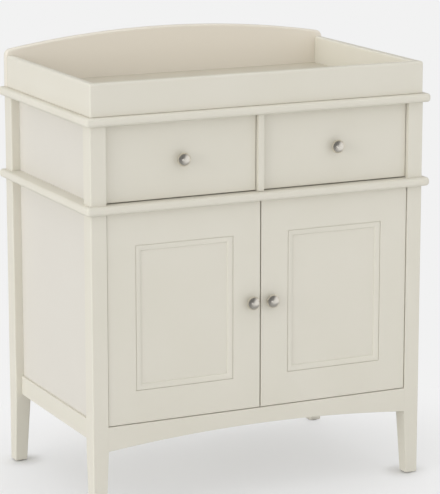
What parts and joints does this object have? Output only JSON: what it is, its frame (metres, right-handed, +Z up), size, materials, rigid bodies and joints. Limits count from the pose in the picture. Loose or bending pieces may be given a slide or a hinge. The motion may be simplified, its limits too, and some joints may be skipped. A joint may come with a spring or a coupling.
{
  "type": "changing unit with lift-off changer tray",
  "caption": "Free-standing nursery changing unit: lift-off tray with an arched back rail on a painted cabinet with drawers and a hinged two-door cupboard.",
  "frame": {"origin": "centre of the bounding box's base, on the floor; the box includes the door knobs at the front", "axes": "+Z up, +X to the right as seen from the front, -Y out of the front (the doors and drawers), +Y towards the wall"},
  "size_m": [0.869, 0.548, 1.0435],
  "materials": {
    "cream_paint": "satin cream paint on wood and fibreboard",
    "painted_hardboard": "cream-faced thin hardboard, matt",
    "brushed_nickel": "brushed nickel, soft shine",
    "zinc_steel": "bright zinc plating",
    "white_plastic": "moulded white plastic",
    "beech": "planed, unpainted beech"
  },
  "bodies": {
    "cabinet": {"top_panel": "cream_paint", "waist_board": "cream_paint", "front_left_post": "cream_paint", "front_right_post": "cream_paint", "rear_left_post": "cream_paint", "rear_right_post": "cream_paint", "left_upper_panel": "cream_paint", "left_lower_panel": "cream_paint", "left_bottom_rail": "cream_paint", "right_upper_panel": "cream_paint", "right_lower_panel": "cream_paint", "right_bottom_rail": "cream_paint", "front_apron": "cream_paint", "rear_bottom_rail": "cream_paint", "cupboard_floor": "cream_paint", "drawer_partition": "cream_paint", "back_panel": "painted_hardboard", "inner_shelf": "cream_paint", "left_shelf_batten": "beech", "right_shelf_batten": "beech", "left_drawer_inner_runner": "beech", "left_drawer_outer_runner": "beech", "right_drawer_inner_runner": "beech", "right_drawer_outer_runner": "beech", "door_catch": "white_plastic"},
    "left_drawer": {"left_drawer_front": "cream_paint", "left_drawer_left_side": "cream_paint", "left_drawer_right_side": "cream_paint", "left_drawer_back": "cream_paint", "left_drawer_bottom": "painted_hardboard", "left_drawer_knob": "brushed_nickel"},
    "right_drawer": {"right_drawer_front": "cream_paint", "right_drawer_left_side": "cream_paint", "right_drawer_right_side": "cream_paint", "right_drawer_back": "cream_paint", "right_drawer_bottom": "painted_hardboard", "right_drawer_knob": "brushed_nickel"},
    "left_door": {"left_door_meeting_stile": "cream_paint", "left_door_hinge_stile": "cream_paint", "left_door_top_rail": "cream_paint", "left_door_bottom_rail": "cream_paint", "left_door_panel": "cream_paint", "left_door_knob": "brushed_nickel", "left_door_lower_pin": "zinc_steel", "left_door_upper_pin": "zinc_steel", "left_door_strike": "zinc_steel"},
    "right_door": {"right_door_meeting_stile": "cream_paint", "right_door_hinge_stile": "cream_paint", "right_door_top_rail": "cream_paint", "right_door_bottom_rail": "cream_paint", "right_door_panel": "cream_paint", "right_door_knob": "brushed_nickel", "right_door_lower_pin": "zinc_steel", "right_door_upper_pin": "zinc_steel", "right_door_strike": "zinc_steel"},
    "changer": {"changer_front_rail": "cream_paint", "changer_left_rail": "cream_paint", "changer_right_rail": "cream_paint", "changer_back_rail": "cream_paint", "changer_base": "cream_paint"}
  },
  "joints": [
    {"name": "left_drawer_slide", "type": "slide", "parent": "cabinet", "child": "left_drawer", "axis": [0, -1, 0], "range_m": [0, 0.3]},
    {"name": "right_drawer_slide", "type": "slide", "parent": "cabinet", "child": "right_drawer", "axis": [0, -1, 0], "range_m": [0, 0.3]},
    {"name": "left_door_hinge", "type": "hinge", "parent": "cabinet", "child": "left_door", "pos_m": [-0.3603, -0.241, 0.4575], "axis": [0, 0, -1], "range_deg": [0, 105]},
    {"name": "right_door_hinge", "type": "hinge", "parent": "cabinet", "child": "right_door", "pos_m": [0.3603, -0.241, 0.4575], "axis": [0, 0, 1], "range_deg": [0, 105]},
    {"name": "changer_lift", "type": "slide", "parent": "cabinet", "child": "changer", "axis": [0, 0, 1], "range_m": [0, 0.15]}
  ]
}
